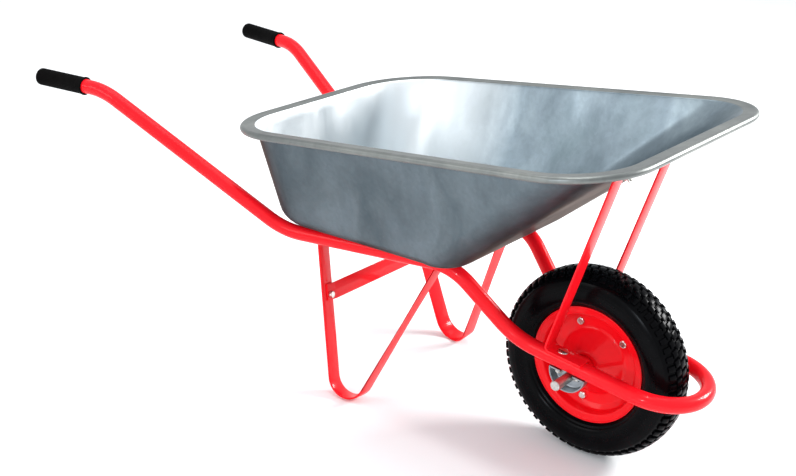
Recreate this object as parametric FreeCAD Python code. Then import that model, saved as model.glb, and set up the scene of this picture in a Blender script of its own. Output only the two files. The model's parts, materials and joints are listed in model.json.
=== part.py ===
import FreeCAD, Part
import math
import os

# A single-wheel builder's wheelbarrow, in millimetres, standing on z = 0.
# +X runs forward from the handles to the wheel, +Y is the barrow's left, +Z is up.
# Everything is drawn with x = 0 at the wheel's axle, then moved forward by AXLE_X, so that
# the origin ends up on the floor under the middle of the bounding box.
# "side" is -1 for the right-hand copy of a piece and +1 for the left-hand copy.

V = FreeCAD.Vector

AXLE_X = 496.5
RIGHT, LEFT = -1, 1
SIDES = {"right": RIGHT, "left": LEFT}

# Frame tube: one bent tube, its corners given for the left side as (x, y, z).
TUBE_OD = 30.0
TUBE_WALL = 1.5
HANDLE_END = (-1224.0, 310.0, 515.0)
HANDLE_BEND = (-1054.0, 287.0, 521.0)
RAIL_REAR = (-632.0, 182.0, 309.0)
RAIL_FRONT = (-253.0, 130.0, 341.0)
LOOP_REAR = (-121.0, 90.0, 221.6)
LOOP_FRONT = (223.7, 90.0, 196.6)
TUBE_BEND_RADII = (136.0, 146.0, 107.0, 122.0, 89.0)

# Grips
GRIP_LENGTH = 128.0
GRIP_OD = 36.0
GRIP_END_WALL = 6.0
GRIP_LIP_OD = 38.4
GRIP_LIP_LENGTH = 3.0

# Tray: pressed sheet; the rim lies in a plane that rises forward more steeply than the floor.
SHEET = 1.2
RIM_REAR_X, RIM_REAR_Z = -732.0, 519.0
RIM_FRONT_X, RIM_FRONT_Z = 146.0, 661.0
RIM_HALF_REAR, RIM_HALF_FRONT = 288.0, 320.0
RIM_RADIUS_REAR, RIM_RADIUS_FRONT = 151.0, 135.0
BEAD_OD = 13.0
FLANGE = 22.0
FLOOR_REAR_X, FLOOR_FRONT_X = -680.0, -210.0
FLOOR_HALF_REAR, FLOOR_HALF_FRONT = 195.0, 212.0
FLOOR_RADIUS_REAR, FLOOR_RADIUS_FRONT = 112.0, 62.0
FLOOR_FILLET = 45.0

# Flat bars
BAR_T = 4.0
LEG_W = 35.0
LEG_APEX = (-445.7, 202.2, -82.1)
LEG_REAR_TOP = (-571.5, 139.6, 326.0)
LEG_FRONT_TOP = (-283.0, 103.0, 354.0)
FOOT_RADIUS = 41.5
LEG_TAB = 38.0
TAB_BOLT_SHARE = 0.55
BRACE_H = 34.0
BRACE_BOLT_Z = 192.0
BRACE_BOLT_LOW = 11.0
BRACE_BOLT_IN = 5.0
BRACE_END_OUT, BRACE_END_LENGTH = 11.0, 29.0
STAY_W = 35.0
STAY_Y = 93.0
STAY_TOP_X = 43.7
STAY_FOOT_X = -49.3
STAY_TOP_TAB = 36.0
STAY_FOOT_TAB = 78.0
BAR_BEND = 9.0
TOUCH = 0.05

# Wheel
TYRE_R = 188.0
TYRE_HALF_W = 43.0
RIM_SHEET = 2.0
BOLT_CIRCLE_R = 80.0
WHEEL_BOLTS = 5
WHEEL_BOLT_PHASE = 45.0
AXLE_Z = TYRE_R
AXLE_D = 19.0
AXLE_HALF = 140.0
AXLE_CLIP_R, AXLE_CLIP_T = 11.5, 1.5
SPACER_OD = 25.0
HUB_OD, HUB_ID, HUB_HALF = 48.0, 38.0, 50.0
BEARING_OD, BEARING_ID, BEARING_W = 42.0, 19.0, 12.0
BEARING_OUT_Y = 49.0
BALL_D, BALLS, BALL_PITCH_R = 6.0, 9, 15.5
RACE_T = 3.0
SEAL_T, SEAL_INSET = 0.5, 1.0
RUNNING = 0.05
VALVE_ANGLE = 200.0
VALVE_Y = 8.0
VALVE_R, VALVE_BORE = 4.0, 1.5
VALVE_TIP_R, VALVE_LENGTH = 70.9, 32.0
VALVE_BASE_R, VALVE_BASE_T, VALVE_BASE_AT = 5.4, 1.5, 102.2
VALVE_HOLE_R = 5.0
CAP_R, CAP_LENGTH, CAP_DEPTH = 5.2, 11.0, 8.5

# Axle bracket: a half-round pressed dish under the tube, open outwards.
BRACKET_R = 38.0
BRACKET_T = 3.0
BRACKET_WEB_Y = 78.0
BRACKET_DEPTH = 22.0
BRACKET_BOLT_X = 20.0
BRACKET_NOTCH = 26.0
INSERT_R, INSERT_LENGTH, INSERT_LIFT = 6.5, 12.0, 1.8

# Fasteners: shank radius, across flats, heights of hexagon head and nut, domed head, washer
M8 = {"r": 4.0, "af": 13.0, "head": 5.3, "nut": 6.5, "dome_r": 11.0, "dome_h": 3.2,
      "washer_r": 8.0, "washer_t": 1.6}
HOLE_PLAY = 0.25
THREAD_PLAY = 0.02
CORNER_TURNED = 0.93

Y_AXIS = V(0, 1, 0)
Z_AXIS = V(0, 0, 1)
AXLE_CENTRE = V(0, 0, AXLE_Z)


# ---------------------------------------------------------------- helpers

def sided(point, side):
    """A left-hand point, or its mirror image on the right."""
    return V(point[0], point[1] * side, point[2])


def corner(before, at, after, radius):
    """Start, middle, end and centre of the arc that rounds a corner."""
    a = (before - at).normalize()
    b = (after - at).normalize()
    half = math.acos(max(-1.0, min(1.0, a.dot(b)))) / 2
    reach = radius / math.tan(half)
    centre = at + (a + b).normalize() * (radius / math.sin(half))
    start = at + a * reach
    end = at + b * reach
    middle = centre + (at - centre).normalize() * radius
    return start, middle, end, centre


def rounded_edges(points, radii, closed=False):
    """Straight runs joined by tangent arcs through a list of corners."""
    n = len(points)
    inner = range(n) if closed else range(1, n - 1)
    arcs = []
    for k, i in enumerate(inner):
        arcs.append(corner(points[i - 1], points[i], points[(i + 1) % n], radii[k]))
    edges = []
    last = arcs[-1][2] if closed else points[0]
    for start, middle, end, _ in arcs:
        edges.append(Part.LineSegment(last, start).toShape())
        edges.append(Part.Arc(start, middle, end).toShape())
        last = end
    if not closed:
        edges.append(Part.LineSegment(last, points[-1]).toShape())
    return edges


def strip_face(points, radii, thickness):
    """A band of the given thickness along a flat open path, as a face, and the path's normal."""
    normal = (points[1] - points[0]).cross(points[2] - points[1]).normalize()
    arcs = [corner(points[i - 1], points[i], points[i + 1], radii[i - 1])
            for i in range(1, len(points) - 1)]
    sides = []
    for offset in (thickness / 2, -thickness / 2):
        run = (points[1] - points[0]).normalize()
        first = points[0] + normal.cross(run) * offset
        last = first
        edges = []
        for i, (start, middle, end, centre) in enumerate(arcs):
            turns_in = normal.cross(run).dot(centre - start) > 0
            inward = offset if turns_in else -offset
            moved = [p + (centre - p).normalize() * inward for p in (start, middle, end)]
            edges.append(Part.LineSegment(last, moved[0]).toShape())
            edges.append(Part.Arc(*moved).toShape())
            last = moved[2]
            run = (points[i + 2] - points[i + 1]).normalize()
        stop = points[-1] + normal.cross(run) * offset
        edges.append(Part.LineSegment(last, stop).toShape())
        sides.append((edges, first, stop))
    (edges_a, first_a, stop_a), (edges_b, first_b, stop_b) = sides
    caps = [Part.LineSegment(first_a, first_b).toShape(), Part.LineSegment(stop_a, stop_b).toShape()]
    wire = Part.Wire(Part.__sortEdges__(edges_a + edges_b + caps))
    return Part.Face(wire), normal


def strip(points, radii, thickness, width):
    """A bent flat bar, its width centred on the path's plane."""
    face, normal = strip_face(points, radii, thickness)
    face.translate(normal * (-width / 2))
    return face.extrude(normal * width)


def rod(radius, length, base, direction):
    return Part.makeCylinder(radius, length, base, direction)


def ring(outer, inner, length, base, direction):
    hole = rod(inner, length, base, direction)
    return rod(outer, length, base, direction).cut(hole)


def hexagon(across_flats, height, base, direction):
    """A hexagonal prism with its corners turned down a little."""
    radius = across_flats / math.sqrt(3)
    points = [V(radius * math.cos(math.radians(a)), radius * math.sin(math.radians(a)), 0)
              for a in range(0, 361, 60)]
    prism = Part.Face(Part.makePolygon(points)).extrude(V(0, 0, height))
    cone = Part.makeCone(radius * CORNER_TURNED + height, radius * CORNER_TURNED, height)
    return stand_on(prism.common(cone), base, direction)


def stand_on(shape, base, direction):
    """Moves a shape drawn along +Z from the origin so that it stands at base along direction."""
    shape.Placement = FreeCAD.Placement(base, FreeCAD.Rotation(Z_AXIS, direction))
    return shape


def hex_bolt(size, length, seat, direction):
    """Head above the seat, shank running back from it against direction."""
    head = hexagon(size["af"], size["head"], seat, direction)
    return head.fuse(rod(size["r"], length, seat, direction * -1)).removeSplitter()


def round_bolt(size, length, seat, direction):
    """A low domed head above the seat and a shank below it."""
    dome = size["dome_r"]
    rise = size["dome_h"]
    ball_r = (dome * dome + rise * rise) / (2 * rise)
    ball = Part.makeSphere(ball_r, V(0, 0, rise - ball_r))
    cap = ball.common(Part.makeCylinder(dome, rise))
    return stand_on(cap, seat, direction).fuse(rod(size["r"], length, seat, direction * -1)).removeSplitter()


def nut(size, seat, direction):
    body = hexagon(size["af"], size["nut"], seat, direction)
    return body.cut(rod(size["r"] + THREAD_PLAY, size["nut"], seat, direction))


def washer(size, seat, direction):
    return ring(size["washer_r"], size["r"] + HOLE_PLAY, size["washer_t"], seat, direction)


def drilled(shape, size, points, direction, reach=60.0):
    """Clearance holes through a shape at each point, along direction."""
    for p in points:
        shape = shape.cut(rod(size["r"] + HOLE_PLAY, 2 * reach, p - direction * reach, direction))
    return shape


# ---------------------------------------------------------------- frame tube and grips

def tube_corners():
    left = [HANDLE_END, HANDLE_BEND, RAIL_REAR, RAIL_FRONT, LOOP_REAR, LOOP_FRONT]
    right = [sided(p, RIGHT) for p in left]
    return right + [sided(p, LEFT) for p in reversed(left)]


def tube_sweep(radius):
    points = tube_corners()
    radii = list(TUBE_BEND_RADII) + list(reversed(TUBE_BEND_RADII))
    path = Part.Wire(rounded_edges(points, radii))
    start = (points[1] - points[0]).normalize()
    profile = Part.Wire([Part.makeCircle(radius, points[0], start)])
    return path.makePipeShell([profile], True, False)


def tube_line_z(x):
    """Height of the lower run's centre line beside the wheel."""
    share = (x - LOOP_REAR[0]) / (LOOP_FRONT[0] - LOOP_REAR[0])
    return LOOP_REAR[2] + share * (LOOP_FRONT[2] - LOOP_REAR[2])


LOWER_RUN = V(LOOP_FRONT[0] - LOOP_REAR[0], 0, LOOP_FRONT[2] - LOOP_REAR[2]).normalize()
LOWER_UP = V(-LOWER_RUN.z, 0, LOWER_RUN.x)


def on_lower_run(x, side, height):
    """A point above (or below) the lower run's centre line, square to it."""
    return V(x, LOOP_REAR[1] * side, tube_line_z(x)) + LOWER_UP * height


def grip(side):
    end, bend = sided(HANDLE_END, side), sided(HANDLE_BEND, side)
    along = (bend - end).normalize()
    radius = GRIP_OD / 2
    closed_end = end - along * GRIP_END_WALL
    outside = Part.makeCylinder(radius, GRIP_LENGTH)
    lip = Part.makeCylinder(GRIP_LIP_OD / 2, GRIP_LIP_LENGTH, V(0, 0, GRIP_LENGTH - GRIP_LIP_LENGTH))
    body = outside.makeFillet(GRIP_END_WALL - 0.5, [outside.Edges[2]]).fuse(lip)
    bore = Part.makeCylinder(TUBE_OD / 2, GRIP_LENGTH, V(0, 0, GRIP_END_WALL))
    return stand_on(body.cut(bore), closed_end, along)


# ---------------------------------------------------------------- tray

RIM_RUN = V(RIM_FRONT_X - RIM_REAR_X, 0, RIM_FRONT_Z - RIM_REAR_Z).normalize()
RIM_UP = V(-RIM_RUN.z, 0, RIM_RUN.x)
RAIL_RUN = V(RAIL_FRONT[0] - RAIL_REAR[0], 0, RAIL_FRONT[2] - RAIL_REAR[2]).normalize()
RAIL_UP = V(-RAIL_RUN.z, 0, RAIL_RUN.x)


def rim_z(x):
    return RIM_REAR_Z + (x - RIM_REAR_X) * RIM_RUN.z / RIM_RUN.x


def floor_z(x):
    """The underside of the tray's floor, which rests along the tops of the rails."""
    top = RAIL_REAR[2] + TUBE_OD / 2 / RAIL_UP.z
    return top + (x - RAIL_REAR[0]) * RAIL_RUN.z / RAIL_RUN.x


def outline(x_rear, x_front, half_rear, half_front, radius_rear, radius_front, height, inset=0.0):
    """A rounded trapezium seen from above, laid on the surface z = height(x)."""
    xs = (x_rear + inset, x_front - inset)
    halves = (half_rear - inset, half_front - inset)
    radii = (radius_rear - inset, radius_front - inset)
    spots = [(0, -1), (1, -1), (1, 1), (0, 1)]
    points = [V(xs[i], halves[i] * s, height(xs[i])) for i, s in spots]
    return Part.Wire(rounded_edges(points, [radii[i] for i, _ in spots], closed=True))


def rim_outline(inset, lift=0.0):
    wire = outline(RIM_REAR_X, RIM_FRONT_X, RIM_HALF_REAR, RIM_HALF_FRONT,
                   RIM_RADIUS_REAR, RIM_RADIUS_FRONT, rim_z, inset)
    wire.translate(RIM_UP * lift)
    return wire


def floor_outline(inset, lift):
    wire = outline(FLOOR_REAR_X, FLOOR_FRONT_X, FLOOR_HALF_REAR, FLOOR_HALF_FRONT,
                   FLOOR_RADIUS_REAR, FLOOR_RADIUS_FRONT, floor_z, inset)
    wire.translate(RAIL_UP * lift)
    return wire


def tray_block(inset, rim_lift):
    """A solid dish: floor outline below, rim outline above, rounded where they meet."""
    block = Part.makeLoft([floor_outline(inset, inset), rim_outline(FLANGE + inset, rim_lift)], True, True)
    middle = (FLOOR_REAR_X + FLOOR_FRONT_X) / 2
    floor_edges = [e for e in block.Edges
                   if all(abs((p - V(middle, 0, floor_z(middle))).dot(RAIL_UP) - inset) < 0.01
                          for p in (e.valueAt(e.FirstParameter), e.valueAt(e.LastParameter)))]
    return block.makeFillet(FLOOR_FILLET - inset, floor_edges)


def tray():
    flange_top = BEAD_OD / 2 - SHEET
    shell = tray_block(0.0, flange_top).cut(tray_block(SHEET, flange_top + 0.01))
    flange_low = flange_top - SHEET
    outer_face = Part.Face(rim_outline(BEAD_OD / 4, flange_low))
    inner_face = Part.Face(rim_outline(FLANGE + SHEET / 2, flange_low - 1))
    flange = outer_face.extrude(RIM_UP * SHEET).cut(inner_face.extrude(RIM_UP * (SHEET + 2)))
    path = rim_outline(0.0)
    start = path.Edges[0]
    at, along = start.valueAt(start.FirstParameter), start.tangentAt(start.FirstParameter)
    rings = [Part.Wire([Part.makeCircle(r, at, along)]) for r in (BEAD_OD / 2, BEAD_OD / 2 - SHEET)]
    bead = path.makePipeShell([rings[0]], True, False).cut(path.makePipeShell([rings[1]], True, False))
    return shell.fuse([flange, bead]).removeSplitter()


# ---------------------------------------------------------------- legs and brace

def leg_frame(side):
    """The leg's plane: its three corners and the direction of its width."""
    rear, apex, front = (sided(p, side) for p in (LEG_REAR_TOP, LEG_APEX, LEG_FRONT_TOP))
    across = (rear - apex).cross(front - apex).normalize()
    return rear, apex, front, across


def leg_tab(top, towards):
    """A flat end, parallel to the tray's floor and just under it, and its bolt's place."""
    along = V(towards, 0, towards * RAIL_RUN.z / RAIL_RUN.x).normalize()
    under = V(top.x, top.y, floor_z(top.x))
    width = Y_AXIS * LEG_W
    length = along * (LEG_TAB + BAR_T)
    base = under - width / 2 - RAIL_UP * BAR_T - along * BAR_T
    face = Part.Face(Part.makePolygon([base, base + length, base + length + width, base + width, base]))
    return face.extrude(RAIL_UP * BAR_T), under + along * (LEG_TAB * TAB_BOLT_SHARE)


def leg_tabs(side):
    """Both flat ends of a leg: the rear one points forward and the front one back."""
    rear, _, front, _ = leg_frame(side)
    return [leg_tab(rear, 1), leg_tab(front, -1)]


def under_floor():
    """A block that fills the space above the undersides of the flat ends."""
    block = Part.makeBox(900, 800, 200, V(-900, -400, 0))
    block.Placement = FreeCAD.Placement(
        V(0, 0, floor_z(0)) - RAIL_UP * BAR_T, FreeCAD.Rotation(V(1, 0, 0), RAIL_RUN))
    return block


def leg(side, tube):
    rear, apex, front, _ = leg_frame(side)
    bar = strip([rear, apex, front], [FOOT_RADIUS], BAR_T, LEG_W).cut(under_floor())
    tabs = leg_tabs(side)
    bar = bar.fuse([plate for plate, _ in tabs]).removeSplitter()
    bar = drilled(bar, M8, [spot for _, spot in tabs], RAIL_UP, reach=20)
    spot, face_out = brace_spot(side)
    return drilled(bar, M8, [spot], face_out, reach=20).cut(tube)


def tray_bolt_spots():
    return [spot for side in (RIGHT, LEFT) for _, spot in leg_tabs(side)]


def brace_spot(side):
    """Where the brace is bolted to a rear upright: a point on its front face, and the way that faces."""
    rear, apex, _, across = leg_frame(side)
    along = (rear - apex).normalize()
    spot = apex + along * ((BRACE_BOLT_Z - apex.z) / along.z)
    face_out = along.cross(across).normalize()
    if face_out.x < 0:
        face_out = face_out * -1
    inward = across if across.y * side < 0 else across * -1
    return spot + face_out * (BAR_T / 2) + inward * BRACE_BOLT_IN, face_out


def brace_end(side):
    """The bent end of the brace, flat against the upright."""
    spot, face_out = brace_spot(side)
    rear, apex, _, across = leg_frame(side)
    inward = across if across.y * side < 0 else across * -1
    up = (rear - apex).normalize()
    low = spot - up * BRACE_BOLT_LOW - inward * BRACE_END_OUT
    run = inward * BRACE_END_LENGTH
    high = low + up * BRACE_H
    face = Part.Face(Part.makePolygon([low, low + run, high + run, high, low]))
    return face.extrude(face_out * BAR_T), low + run, up


def brace():
    """A flat strip from upright to upright, with both ends turned flat against them."""
    pieces = []
    sections = []
    for side in (RIGHT, LEFT):
        plate, edge, up = brace_end(side)
        face_out = brace_spot(side)[1]
        pieces.append(plate)
        inner = [edge, edge + up * BRACE_H, edge + up * BRACE_H + face_out * BAR_T,
                 edge + face_out * BAR_T, edge]
        sections.append(Part.makePolygon(inner))
    web = Part.makeLoft(sections, True, True)
    body = web.fuse(pieces).removeSplitter()
    for side in (RIGHT, LEFT):
        spot, face_out = brace_spot(side)
        body = drilled(body, M8, [spot], face_out, reach=20)
    return body


# ---------------------------------------------------------------- front stays

def front_wall():
    """The tray's front wall on the middle line: a low point and a high point of its outside."""
    low = V(FLOOR_FRONT_X, 0, floor_z(FLOOR_FRONT_X))
    high = V(RIM_FRONT_X - FLANGE, 0, rim_z(RIM_FRONT_X - FLANGE)) + RIM_UP * (BEAD_OD / 2 - SHEET)
    return low, high


def wall_frame():
    low, high = front_wall()
    along = (high - low).normalize()
    return low, along, V(along.z, 0, -along.x)


def stay_path(side):
    low, along, out = wall_frame()
    y = STAY_Y * side
    bend_top = low + along * ((STAY_TOP_X - low.x) / along.x) + out * (BAR_T / 2 + TOUCH)
    end_top = bend_top + along * STAY_TOP_TAB
    bend_foot = on_lower_run(STAY_FOOT_X, 1, TUBE_OD / 2 + BAR_T / 2)
    end_foot = bend_foot + LOWER_RUN * STAY_FOOT_TAB
    return [V(p.x, y, p.z) for p in (end_top, bend_top, bend_foot, end_foot)]


def stay_bolt(side):
    """Centre of the stay's top bolt on the outside of the tray's front wall."""
    _, along, out = wall_frame()
    bend_top = stay_path(side)[1]
    return bend_top + along * (STAY_TOP_TAB * TAB_BOLT_SHARE) - out * (BAR_T / 2 + TOUCH), out


def stay(side):
    bar = strip(stay_path(side), [BAR_BEND, BAR_BEND], BAR_T, STAY_W)
    spot, out = stay_bolt(side)
    bar = drilled(bar, M8, [spot], out, reach=15)
    return drilled(bar, M8, bracket_spots(side)[:1], LOWER_UP)


# ---------------------------------------------------------------- axle brackets

def bracket_spots(side):
    """The rear and front fixing points of a bracket, on the lower run's centre line."""
    return [on_lower_run(x, side, 0) for x in (-BRACKET_BOLT_X, BRACKET_BOLT_X)]


def bracket(side):
    web_y = BRACKET_WEB_Y * side
    outward = Y_AXIS * side
    top = on_lower_run(0, side, -TUBE_OD / 2)
    centre = V(top.x, web_y, top.z)
    disc = rod(BRACKET_R, BRACKET_DEPTH, centre, outward)
    hollow = rod(BRACKET_R - BRACKET_T, BRACKET_DEPTH, centre + outward * BRACKET_T, outward)
    dish = disc.cut(hollow)
    ears = Part.makeBox(2 * BRACKET_R, BRACKET_DEPTH, BRACKET_T, V(-BRACKET_R, 0, -BRACKET_T))
    notch_corner = V(-BRACKET_NOTCH / 2, 0, -BRACKET_T)
    ears = ears.cut(Part.makeBox(BRACKET_NOTCH, BRACKET_DEPTH, BRACKET_T, notch_corner))
    ears.Placement = FreeCAD.Placement(
        centre if side > 0 else centre + outward * BRACKET_DEPTH,
        FreeCAD.Rotation(V(1, 0, 0), LOWER_RUN))
    above = Part.makeBox(200, 80, 80, V(-100, -40, 0))
    above.Placement = FreeCAD.Placement(
        centre, FreeCAD.Rotation(V(1, 0, 0), LOWER_RUN))
    body = dish.cut(above).fuse(ears).removeSplitter()
    body = body.cut(rod(AXLE_D / 2 + 0.02, 80, V(0, 0, AXLE_Z) + outward * 60, outward))
    return drilled(body, M8, bracket_spots(side), LOWER_UP)


# ---------------------------------------------------------------- wheel

RIM_PATH = [(116.0, 31.5), (113.6, 26.2), (100.6, 25.0), (98.6, 8.0), (88.0, 1.0),
            (66.0, 1.0), (31.0, 39.0), (25.1, 39.0)]
RIM_BENDS = (3.0, 4.0, 6.0, 6.0, 12.0, 7.0)

TYRE_OUTSIDE = [(112.5, 24.9), (115.4, 25.7), (118.2, 30.0), (121.8, 34.5), (130.0, 40.0),
                (142.0, TYRE_HALF_W), (157.0, 42.0), (170.0, 37.5), (179.0, 31.0)]
TYRE_CROWN = [(179.0, 31.0), (186.3, 16.0), (TYRE_R, 0.0), (186.3, -16.0), (179.0, -31.0)]
TYRE_INSIDE = [(101.9, 14.0), (108.0, 20.0), (117.0, 27.5), (129.0, 34.0), (142.0, 37.0),
               (157.0, 35.5), (169.0, 29.0), (176.0, 16.0), (178.0, 0.0)]


def spline(points, side=1):
    curve = Part.BSplineCurve()
    curve.interpolate([V(r, y * side, AXLE_Z) for r, y in points])
    return curve.toShape()


def line(a, b):
    return Part.LineSegment(V(a[0], a[1], AXLE_Z), V(b[0], b[1], AXLE_Z)).toShape()


def turned(edges):
    wire = Part.Wire(Part.__sortEdges__(edges))
    return Part.Face(wire).revolve(AXLE_CENTRE, Y_AXIS, 360)


def around(count, phase, radius, y):
    """Points on a circle about the axle."""
    angles = [math.radians(phase + k * 360.0 / count) for k in range(count)]
    return [V(radius * math.cos(a), y, AXLE_Z + radius * math.sin(a)) for a in angles]


def wheel_bolt_spots(y):
    return around(WHEEL_BOLTS, WHEEL_BOLT_PHASE, BOLT_CIRCLE_R, y)


def rim_half(side):
    points = [V(r, y * side, AXLE_Z) for r, y in RIM_PATH]
    face, _ = strip_face(points, list(RIM_BENDS), RIM_SHEET)
    body = face.revolve(AXLE_CENTRE, Y_AXIS, 360)
    body = drilled(body, M8, wheel_bolt_spots(0), Y_AXIS, reach=12)
    if side == LEFT:
        body = body.cut(rod(VALVE_HOLE_R, 40, valve_point(BOLT_CIRCLE_R), valve_direction()))
    return body


def tyre():
    edges = []
    for s in (1, -1):
        edges.append(spline(TYRE_OUTSIDE, s))
        edges.append(line((112.5, 24.9 * s), (102.2, 23.5 * s)))
        edges.append(line((102.2, 23.5 * s), (101.9, 14.0 * s)))
        edges.append(spline(TYRE_INSIDE, s))
    crown = spline(TYRE_CROWN)
    return turned(edges + [crown])


def inner_tube():
    """A thin closed rubber ring, lying just inside the tyre and on the rim."""
    outer = [(104.0, 0.0), (105.0, 13.0), (112.0, 22.0), (124.0, 30.0), (142.0, 35.8), (156.0, 34.0),
             (167.0, 27.5), (174.3, 15.0), (176.5, 0.0)]
    inner = [(106.0, 0.0), (107.0, 12.4), (113.3, 20.4), (124.8, 28.0), (142.0, 33.6), (155.0, 32.0),
             (165.4, 26.0), (172.2, 14.4), (174.3, 0.0)]
    solids = []
    for outline_points in (outer, inner):
        mirror = [(r, -y) for r, y in reversed(outline_points)][1:-1]
        curve = Part.BSplineCurve()
        curve.interpolate([V(r, y, AXLE_Z) for r, y in outline_points + mirror], PeriodicFlag=True)
        solids.append(turned([curve.toShape()]))
    return solids[0].cut(solids[1]).cut(valve_stem())


def valve_direction():
    a = math.radians(VALVE_ANGLE)
    return V(math.cos(a), 0, math.sin(a))


def valve_point(radius):
    return AXLE_CENTRE + valve_direction() * radius + Y_AXIS * VALVE_Y


def valve_stem():
    direction = valve_direction()
    tip = valve_point(VALVE_TIP_R)
    base = rod(VALVE_BASE_R, VALVE_BASE_T, valve_point(VALVE_BASE_AT), direction)
    stem = rod(VALVE_R, VALVE_LENGTH, tip, direction).fuse(base)
    return stem.cut(rod(VALVE_BORE, 20.0, tip, direction)).removeSplitter()


def valve_cap():
    direction = valve_direction()
    outside = rod(CAP_R, CAP_LENGTH, valve_point(VALVE_TIP_R + CAP_DEPTH - CAP_LENGTH), direction)
    return outside.cut(rod(VALVE_R + THREAD_PLAY, CAP_DEPTH, valve_point(VALVE_TIP_R), direction))


def hub_tube():
    outside = rod(HUB_OD / 2, 2 * HUB_HALF, V(0, -HUB_HALF, AXLE_Z), Y_AXIS)
    body = outside.cut(rod(HUB_ID / 2, 2 * HUB_HALF, V(0, -HUB_HALF, AXLE_Z), Y_AXIS))
    seat = HUB_HALF - (BEARING_OUT_Y - BEARING_W)
    for side in (RIGHT, LEFT):
        base = V(0, side * (HUB_HALF - seat), AXLE_Z)
        body = body.cut(rod(BEARING_OD / 2, seat, base, Y_AXIS * side))
    return body


def bearing_y(side):
    return side * (BEARING_OUT_Y - BEARING_W / 2)


def race_groove():
    """The ball track that both races are hollowed by, centred on y = 0."""
    return Part.makeTorus(BALL_PITCH_R, BALL_D / 2 + RUNNING, V(0, 0, AXLE_Z), Y_AXIS)


def bearing_parts(side):
    y = bearing_y(side)
    low = V(0, y - BEARING_W / 2, AXLE_Z)
    groove = race_groove()
    groove.translate(Y_AXIS * y)
    outer = ring(BEARING_OD / 2, BEARING_OD / 2 - RACE_T, BEARING_W, low, Y_AXIS).cut(groove)
    inner = ring(BEARING_ID / 2 + RACE_T, BEARING_ID / 2 + 0.01, BEARING_W, low, Y_AXIS).cut(groove)
    balls = [Part.makeSphere(BALL_D / 2 - RUNNING, p) for p in around(BALLS, 0, BALL_PITCH_R, y)]
    shields = []
    for s in (-1, 1):
        base = V(0, y + s * (BEARING_W / 2 - SEAL_INSET) - SEAL_T / 2, AXLE_Z)
        shields.append(ring(BEARING_OD / 2 - RACE_T, BEARING_ID / 2 + RACE_T + 0.3, SEAL_T, base, Y_AXIS))
    return {"outer_race": outer, "inner_race": inner,
            "balls": Part.makeCompound(balls), "shields": Part.makeCompound(shields)}


def axle():
    shaft = rod(AXLE_D / 2, 2 * AXLE_HALF, V(0, -AXLE_HALF, AXLE_Z), Y_AXIS)
    ends = [e for e in shaft.Edges if abs(abs(e.CenterOfMass.y) - AXLE_HALF) < 0.1]
    return shaft.makeChamfer(1.5, ends)


def sleeve(outer_d, y_from, y_to):
    return ring(outer_d / 2, AXLE_D / 2 + RUNNING, y_to - y_from, V(0, y_from, AXLE_Z), Y_AXIS)


def outer_spacer(side):
    start, end = sorted((side * BEARING_OUT_Y, side * BRACKET_WEB_Y))
    return sleeve(SPACER_OD, start, end)


def axle_clip(side):
    """A push-on spring washer that holds the axle in its bracket."""
    face = side * (BRACKET_WEB_Y + BRACKET_T)
    start, end = sorted((face, face + side * AXLE_CLIP_T))
    return ring(AXLE_CLIP_R, AXLE_D / 2 + 0.01, end - start, V(0, start, AXLE_Z), Y_AXIS)


# ---------------------------------------------------------------- fastener groups

def tray_fasteners():
    """Bolts from inside the tray, through its floor and the legs' flat ends."""
    bolts, washers, nuts = [], [], []
    under = RAIL_UP * -BAR_T
    for spot in tray_bolt_spots():
        seat = spot + RAIL_UP * (SHEET + M8["washer_t"])
        washers.append(washer(M8, spot + RAIL_UP * SHEET, RAIL_UP))
        bolts.append(round_bolt(M8, SHEET + M8["washer_t"] + BAR_T + M8["nut"] + 4, seat, RAIL_UP))
        nuts.append(nut(M8, spot + under, RAIL_UP * -1))
    return bolts, washers, nuts


def stay_fasteners():
    bolts, washers, nuts = [], [], []
    for side in (RIGHT, LEFT):
        spot, out = stay_bolt(side)
        inside = out * -1
        inner_face = spot + inside * SHEET
        washers.append(washer(M8, inner_face, inside))
        length = SHEET + M8["washer_t"] + BAR_T + M8["nut"] + 6
        bolts.append(round_bolt(M8, length, inner_face + inside * M8["washer_t"], inside))
        nuts.append(nut(M8, spot + out * (BAR_T + 2 * TOUCH), out))
    return bolts, washers, nuts


def brace_fasteners():
    bolts, nuts = [], []
    for side in (RIGHT, LEFT):
        spot, face_out = brace_spot(side)
        bolts.append(hex_bolt(M8, 2 * BAR_T + M8["nut"] + 3, spot + face_out * BAR_T, face_out))
        nuts.append(nut(M8, spot - face_out * BAR_T, face_out * -1))
    return bolts, nuts


def bracket_fasteners():
    """Rear: a bolt through stay, tube and bracket. Front: a screw up into the tube."""
    bolts, nuts, screws = [], [], []
    for side in (RIGHT, LEFT):
        rear, front = bracket_spots(side)
        seat = rear + LOWER_UP * (TUBE_OD / 2 + BAR_T)
        bolts.append(round_bolt(M8, TUBE_OD + BAR_T + BRACKET_T + M8["nut"] + 2, seat, LOWER_UP))
        nuts.append(nut(M8, rear - LOWER_UP * (TUBE_OD / 2 + BRACKET_T), LOWER_UP * -1))
        low = front - LOWER_UP * (TUBE_OD / 2 + BRACKET_T)
        screws.append(hex_bolt(M8, 18, low, LOWER_UP * -1))
    return bolts, nuts, screws


def bracket_inserts():
    """Threaded inserts in the tube's lower wall, for the front screws."""
    inserts = []
    for side in (RIGHT, LEFT):
        base = bracket_spots(side)[1] - LOWER_UP * (TUBE_OD / 2 - TUBE_WALL)
        inserts.append(ring(INSERT_R, M8["r"] + THREAD_PLAY, INSERT_LENGTH, base + LOWER_UP * INSERT_LIFT,
                            LOWER_UP))
    return inserts


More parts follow.
